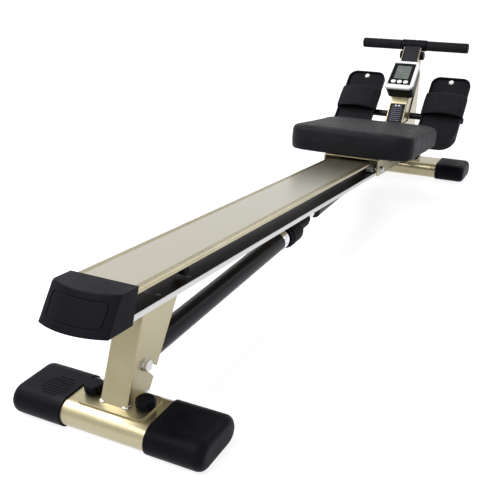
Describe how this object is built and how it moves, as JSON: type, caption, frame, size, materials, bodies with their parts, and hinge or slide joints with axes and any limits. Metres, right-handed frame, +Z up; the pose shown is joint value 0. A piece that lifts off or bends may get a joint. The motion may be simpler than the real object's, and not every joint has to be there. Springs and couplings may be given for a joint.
{
  "type": "rowing machine",
  "caption": "Rowing machine with a sloped rail, a wheeled seat, two tilting footplates with straps, and a damped pull lever with a T handle and display.",
  "frame": {"origin": "on the floor, under the middle of the machine's overall box", "axes": "+X forward along the rail towards the pull lever, +Y to the rower's left, +Z up"},
  "size_m": [1.6892, 0.417, 0.3983],
  "materials": {
    "champagne_paint": "satin metallic paint",
    "black_plastic": "fine texture",
    "zinc_steel": "zinc plated",
    "seat_cover": "soft grained vinyl",
    "black_paint": "gloss powder coat",
    "roller_nylon": "smooth nylon",
    "stop_rubber": "matt",
    "grip_foam": "fine foam",
    "trim_black": "gloss, ribbed",
    "pedal_plastic": "fine texture, ribbed",
    "rivet_white": "smooth",
    "strap_web": "woven web",
    "chrome_plate": "polished",
    "silver_plastic": "pale silver",
    "console_black": "smooth",
    "screen_glass": "grey-green display",
    "button_white": "smooth"
  },
  "bodies": {
    "frame": {"rear_base_tube": "champagne_paint", "front_base_tube": "champagne_paint", "base_caps": "black_plastic", "base_plates": "champagne_paint", "base_knobs": "black_plastic", "rail_beam": "champagne_paint", "rail_end_cap": "black_plastic", "rear_leg": "champagne_paint", "leg_screws": "zinc_steel", "seat_stops": "stop_rubber", "front_post": "champagne_paint", "tongue_bolts": "zinc_steel", "lever_pivot_bolt": "zinc_steel", "pedal_crossbar": "black_paint", "crossbar_collars": "black_plastic", "crossbar_caps": "black_plastic", "damper_bolt": "zinc_steel"},
    "seat": {"seat_pad": "seat_cover", "seat_board": "black_plastic", "seat_bracket": "champagne_paint", "seat_screws": "zinc_steel", "roller_bolts": "zinc_steel"},
    "lever": {"pull_lever": "champagne_paint", "lever_bushes": "zinc_steel", "crank_pin": "zinc_steel", "handle_stem": "black_paint", "handle_clamp": "black_plastic", "handle_bar": "black_paint", "handle_hub": "black_plastic", "handle_screws": "zinc_steel", "grip_left": "grip_foam", "grip_right": "grip_foam", "bar_plugs": "black_plastic", "trim_plate": "trim_black", "console_bezel": "silver_plastic", "console_housing": "console_black", "console_face": "console_black", "console_screen": "screen_glass"},
    "damper": {"damper_eye": "black_paint", "damper_cylinder": "black_paint", "damper_collar": "chrome_plate", "damper_neck": "black_plastic"},
    "dial": {"resistance_dial": "black_plastic"},
    "rod": {"piston_rod": "chrome_plate", "pull_link": "black_paint"},
    "roller_rear_left": {"seat_roller_rear_left": "roller_nylon"},
    "roller_rear_right": {"seat_roller_rear_right": "roller_nylon"},
    "roller_front_left": {"seat_roller_front_left": "roller_nylon"},
    "roller_front_right": {"seat_roller_front_right": "roller_nylon"},
    "pedal_left": {"pedal_plate_left": "pedal_plastic", "pedal_pivot_left": "black_paint", "pedal_rivet_left": "rivet_white", "pedal_strap_left": "strap_web"},
    "pedal_right": {"pedal_plate_right": "pedal_plastic", "pedal_pivot_right": "black_paint", "pedal_rivet_right": "rivet_white", "pedal_strap_right": "strap_web"},
    "button_1": {"console_button_1": "button_white"},
    "button_2": {"console_button_2": "button_white"},
    "button_3": {"console_button_3": "button_white"}
  },
  "joints": [
    {"name": "seat_slide", "type": "slide", "parent": "frame", "child": "seat", "axis": [-0.9961, 0, 0.0879], "range_m": [0, 0.9]},
    {"name": "lever_swing", "type": "hinge", "parent": "frame", "child": "lever", "pos_m": [0.66314, 0, 0.16], "axis": [0, -1, 0], "range_deg": [0, 65]},
    {"name": "damper_swing", "type": "hinge", "parent": "frame", "child": "damper", "pos_m": [-0.70586, 0, 0.097], "axis": [0, 1, 0], "range_deg": [0, 0.642]},
    {"name": "rod_slide", "type": "slide", "parent": "damper", "child": "rod", "axis": [1, 0, 0.0023], "range_m": [0, 0.0798]},
    {"name": "dial_turn", "type": "hinge", "parent": "damper", "child": "dial", "pos_m": [-0.11307, 0, 0.09834], "axis": [1, 0, 0.0023], "range_deg": [0, 330]},
    {"name": "roller_rear_left_spin", "type": "hinge", "parent": "seat", "child": "roller_rear_left", "pos_m": [0.30818, 0.044, 0.13693], "axis": [0, -1, 0], "range_deg": [0, 4127]},
    {"name": "roller_rear_right_spin", "type": "hinge", "parent": "seat", "child": "roller_rear_right", "pos_m": [0.30818, -0.044, 0.13693], "axis": [0, -1, 0], "range_deg": [0, 4127]},
    {"name": "roller_front_left_spin", "type": "hinge", "parent": "seat", "child": "roller_front_left", "pos_m": [0.46955, 0.044, 0.1227], "axis": [0, -1, 0], "range_deg": [0, 4127]},
    {"name": "roller_front_right_spin", "type": "hinge", "parent": "seat", "child": "roller_front_right", "pos_m": [0.46955, -0.044, 0.1227], "axis": [0, -1, 0], "range_deg": [0, 4127]},
    {"name": "pedal_left_tilt", "type": "hinge", "parent": "frame", "child": "pedal_left", "pos_m": [0.72713, 0.131, 0.186], "axis": [0, 1, 0], "range_deg": [-6, 20]},
    {"name": "pedal_right_tilt", "type": "hinge", "parent": "frame", "child": "pedal_right", "pos_m": [0.72713, -0.131, 0.186], "axis": [0, 1, 0], "range_deg": [-6, 20]},
    {"name": "button_1_press", "type": "slide", "parent": "lever", "child": "button_1", "axis": [0.6036, 0, -0.7973], "range_m": [0, 0.0012], "stiffness_N_per_m": 450, "springref_m": -0.0008},
    {"name": "button_2_press", "type": "slide", "parent": "lever", "child": "button_2", "axis": [0.6036, 0, -0.7973], "range_m": [0, 0.0012], "stiffness_N_per_m": 450, "springref_m": -0.0008},
    {"name": "button_3_press", "type": "slide", "parent": "lever", "child": "button_3", "axis": [0.6036, 0, -0.7973], "range_m": [0, 0.0012], "stiffness_N_per_m": 450, "springref_m": -0.0008}
  ],
  "couplings": [
    {"joint": "damper_swing", "follows": "lever_swing", "ratio": 0.0091},
    {"joint": "rod_slide", "follows": "lever_swing", "m_per_rad": 0.0699},
    {"joint": "roller_rear_left_spin", "follows": "seat_slide", "rad_per_m": 80},
    {"joint": "roller_rear_right_spin", "follows": "seat_slide", "rad_per_m": 80},
    {"joint": "roller_front_left_spin", "follows": "seat_slide", "rad_per_m": 80},
    {"joint": "roller_front_right_spin", "follows": "seat_slide", "rad_per_m": 80}
  ]
}
